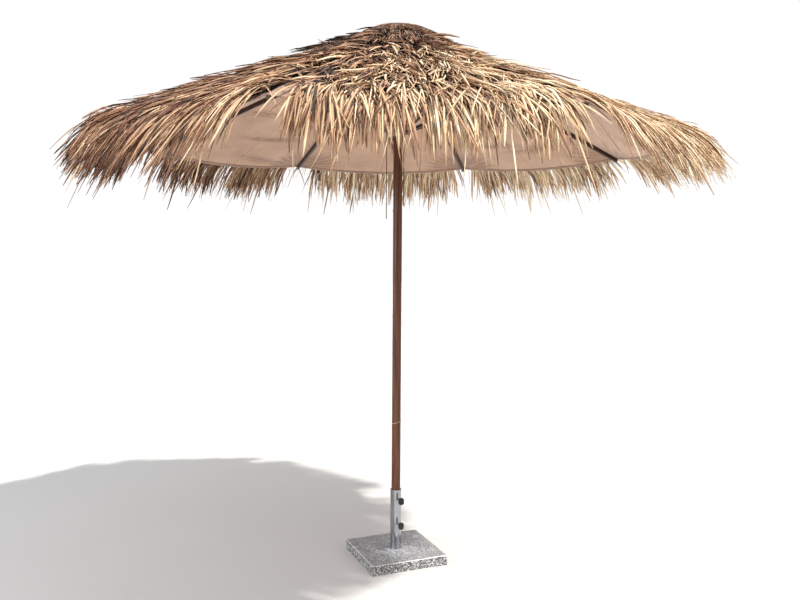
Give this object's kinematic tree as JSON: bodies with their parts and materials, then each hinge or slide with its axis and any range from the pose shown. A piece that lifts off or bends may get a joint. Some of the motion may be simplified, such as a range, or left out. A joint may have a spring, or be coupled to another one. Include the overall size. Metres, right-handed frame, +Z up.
{
  "type": "thatched beach umbrella",
  "caption": "Beach umbrella with a thatched, wooden-ribbed folding canopy on a round wooden pole, clamped in a chrome tube on a square stone base.",
  "frame": {"origin": "on the ground, at the centre of the slab's underside, on the pole's axis", "axes": "+Z up along the pole; X and Y along the slab's sides, with the clamp knobs on the -Y side"},
  "size_m": [3.397, 3.397, 2.858],
  "materials": {
    "granite": "satin",
    "chrome_tube": "polished",
    "zinc_steel": "satin",
    "dark_steel": "satin",
    "black_plastic": "satin",
    "dark_plastic": "satin",
    "stained_wood": "gloss",
    "rib_wood": "satin",
    "pale_cord": "matte",
    "dark_cord": "matte",
    "canopy_fabric": "matte",
    "thatch": "matte"
  },
  "bodies": {
    "base": {"base_slab": "granite", "base_tube": "chrome_tube", "anchor_bolt": "zinc_steel", "adapter_sleeve": "black_plastic"},
    "upper_knob": {"upper_clamp_screw": "zinc_steel", "upper_clamp_knob": "black_plastic"},
    "lower_knob": {"lower_clamp_screw": "zinc_steel", "lower_clamp_knob": "black_plastic"},
    "pole": {"pole": "stained_wood", "pole_tie_cord": "pale_cord", "top_hub": "dark_plastic", "rib_hinge_pins": "zinc_steel", "pulley_axle": "zinc_steel", "lift_cord": "dark_cord", "hauling_cord": "dark_cord", "thatch_crown": "thatch"},
    "pulley": {"cord_pulley": "dark_plastic"},
    "runner": {"runner": "dark_plastic", "runner_eye": "dark_steel", "runner_cord": "dark_cord"},
    "rib_1": {"rib_1": "rib_wood", "canopy_gore_1": "canopy_fabric", "thatch_skirt_1": "thatch"},
    "strut_1": {"strut_1": "rib_wood", "strut_pins_1": "zinc_steel"},
    "rib_2": {"rib_2": "rib_wood", "canopy_gore_2": "canopy_fabric", "thatch_skirt_2": "thatch"},
    "strut_2": {"strut_2": "rib_wood", "strut_pins_2": "zinc_steel"},
    "rib_3": {"rib_3": "rib_wood", "canopy_gore_3": "canopy_fabric", "thatch_skirt_3": "thatch"},
    "strut_3": {"strut_3": "rib_wood", "strut_pins_3": "zinc_steel"},
    "rib_4": {"rib_4": "rib_wood", "canopy_gore_4": "canopy_fabric", "thatch_skirt_4": "thatch"},
    "strut_4": {"strut_4": "rib_wood", "strut_pins_4": "zinc_steel"},
    "rib_5": {"rib_5": "rib_wood", "canopy_gore_5": "canopy_fabric", "thatch_skirt_5": "thatch"},
    "strut_5": {"strut_5": "rib_wood", "strut_pins_5": "zinc_steel"},
    "rib_6": {"rib_6": "rib_wood", "canopy_gore_6": "canopy_fabric", "thatch_skirt_6": "thatch"},
    "strut_6": {"strut_6": "rib_wood", "strut_pins_6": "zinc_steel"},
    "rib_7": {"rib_7": "rib_wood", "canopy_gore_7": "canopy_fabric", "thatch_skirt_7": "thatch"},
    "strut_7": {"strut_7": "rib_wood", "strut_pins_7": "zinc_steel"},
    "rib_8": {"rib_8": "rib_wood", "canopy_gore_8": "canopy_fabric", "thatch_skirt_8": "thatch"},
    "strut_8": {"strut_8": "rib_wood", "strut_pins_8": "zinc_steel"}
  },
  "joints": [
    {"name": "pole_lift", "type": "slide", "parent": "base", "child": "pole", "axis": [0, 0, 1], "range_m": [0, 0.32]},
    {"name": "upper_knob_turn", "type": "hinge", "parent": "base", "child": "upper_knob", "pos_m": [0, -0.06, 0.33], "axis": [0, -1, 0], "range_deg": [0, 1080]},
    {"name": "lower_knob_turn", "type": "hinge", "parent": "base", "child": "lower_knob", "pos_m": [0, -0.06, 0.195], "axis": [0, -1, 0], "range_deg": [0, 1080]},
    {"name": "runner_slide", "type": "slide", "parent": "pole", "child": "runner", "axis": [0, 0, 1], "range_m": [-0.85937, 0], "deforming": ["canopy_gore_1", "thatch_skirt_1", "canopy_gore_2", "thatch_skirt_2", "canopy_gore_3", "thatch_skirt_3", "canopy_gore_4", "thatch_skirt_4", "canopy_gore_5", "thatch_skirt_5", "canopy_gore_6", "thatch_skirt_6", "canopy_gore_7", "thatch_skirt_7", "canopy_gore_8", "thatch_skirt_8", "lift_cord"]},
    {"name": "pulley_spin", "type": "hinge", "parent": "pole", "child": "pulley", "pos_m": [-0.04578, 0.01443, 2.775], "axis": [-0.3007, -0.9537, 0], "continuous": true},
    {"name": "rib_1_fold", "type": "hinge", "parent": "pole", "child": "rib_1", "pos_m": [0.04483, 0.00392, 2.77], "axis": [-0.0872, 0.9962, 0], "range_deg": [-0.05, 58.75]},
    {"name": "strut_1_fold", "type": "hinge", "parent": "rib_1", "child": "strut_1", "pos_m": [0.67736, 0.05926, 2.53512], "axis": [-0.0872, 0.9962, 0], "range_deg": [-117.5, 0.1]},
    {"name": "rib_2_fold", "type": "hinge", "parent": "pole", "child": "rib_2", "pos_m": [0.02892, 0.03447, 2.77], "axis": [-0.766, 0.6428, 0], "range_deg": [-0.05, 58.75]},
    {"name": "strut_2_fold", "type": "hinge", "parent": "rib_2", "child": "strut_2", "pos_m": [0.43706, 0.52087, 2.53512], "axis": [-0.766, 0.6428, 0], "range_deg": [-117.5, 0.1]},
    {"name": "rib_3_fold", "type": "hinge", "parent": "pole", "child": "rib_3", "pos_m": [-0.00392, 0.04483, 2.77], "axis": [-0.9962, -0.0872, 0], "range_deg": [-0.05, 58.75]},
    {"name": "strut_3_fold", "type": "hinge", "parent": "rib_3", "child": "strut_3", "pos_m": [-0.05926, 0.67736, 2.53512], "axis": [-0.9962, -0.0872, 0], "range_deg": [-117.5, 0.1]},
    {"name": "rib_4_fold", "type": "hinge", "parent": "pole", "child": "rib_4", "pos_m": [-0.03447, 0.02892, 2.77], "axis": [-0.6428, -0.766, 0], "range_deg": [-0.05, 58.75]},
    {"name": "strut_4_fold", "type": "hinge", "parent": "rib_4", "child": "strut_4", "pos_m": [-0.52087, 0.43706, 2.53512], "axis": [-0.6428, -0.766, 0], "range_deg": [-117.5, 0.1]},
    {"name": "rib_5_fold", "type": "hinge", "parent": "pole", "child": "rib_5", "pos_m": [-0.04483, -0.00392, 2.77], "axis": [0.0872, -0.9962, 0], "range_deg": [-0.05, 58.75]},
    {"name": "strut_5_fold", "type": "hinge", "parent": "rib_5", "child": "strut_5", "pos_m": [-0.67736, -0.05926, 2.53512], "axis": [0.0872, -0.9962, 0], "range_deg": [-117.5, 0.1]},
    {"name": "rib_6_fold", "type": "hinge", "parent": "pole", "child": "rib_6", "pos_m": [-0.02892, -0.03447, 2.77], "axis": [0.766, -0.6428, 0], "range_deg": [-0.05, 58.75]},
    {"name": "strut_6_fold", "type": "hinge", "parent": "rib_6", "child": "strut_6", "pos_m": [-0.43706, -0.52087, 2.53512], "axis": [0.766, -0.6428, 0], "range_deg": [-117.5, 0.1]},
    {"name": "rib_7_fold", "type": "hinge", "parent": "pole", "child": "rib_7", "pos_m": [0.00392, -0.04483, 2.77], "axis": [0.9962, 0.0872, 0], "range_deg": [-0.05, 58.75]},
    {"name": "strut_7_fold", "type": "hinge", "parent": "rib_7", "child": "strut_7", "pos_m": [0.05926, -0.67736, 2.53512], "axis": [0.9962, 0.0872, 0], "range_deg": [-117.5, 0.1]},
    {"name": "rib_8_fold", "type": "hinge", "parent": "pole", "child": "rib_8", "pos_m": [0.03447, -0.02892, 2.77], "axis": [0.6428, 0.766, 0], "range_deg": [-0.05, 58.75]},
    {"name": "strut_8_fold", "type": "hinge", "parent": "rib_8", "child": "strut_8", "pos_m": [0.52087, -0.43706, 2.53512], "axis": [0.6428, 0.766, 0], "range_deg": [-117.5, 0.1]}
  ],
  "couplings": [
    {"joint": "pulley_spin", "follows": "runner_slide", "rad_per_m": -83.333},
    {"joint": "rib_1_fold", "follows": "runner_slide", "rad_per_m": -1.1922},
    {"joint": "strut_1_fold", "follows": "runner_slide", "rad_per_m": 2.3843},
    {"joint": "rib_2_fold", "follows": "runner_slide", "rad_per_m": -1.1922},
    {"joint": "strut_2_fold", "follows": "runner_slide", "rad_per_m": 2.3843},
    {"joint": "rib_3_fold", "follows": "runner_slide", "rad_per_m": -1.1922},
    {"joint": "strut_3_fold", "follows": "runner_slide", "rad_per_m": 2.3843},
    {"joint": "rib_4_fold", "follows": "runner_slide", "rad_per_m": -1.1922},
    {"joint": "strut_4_fold", "follows": "runner_slide", "rad_per_m": 2.3843},
    {"joint": "rib_5_fold", "follows": "runner_slide", "rad_per_m": -1.1922},
    {"joint": "strut_5_fold", "follows": "runner_slide", "rad_per_m": 2.3843},
    {"joint": "rib_6_fold", "follows": "runner_slide", "rad_per_m": -1.1922},
    {"joint": "strut_6_fold", "follows": "runner_slide", "rad_per_m": 2.3843},
    {"joint": "rib_7_fold", "follows": "runner_slide", "rad_per_m": -1.1922},
    {"joint": "strut_7_fold", "follows": "runner_slide", "rad_per_m": 2.3843},
    {"joint": "rib_8_fold", "follows": "runner_slide", "rad_per_m": -1.1922},
    {"joint": "strut_8_fold", "follows": "runner_slide", "rad_per_m": 2.3843}
  ]
}
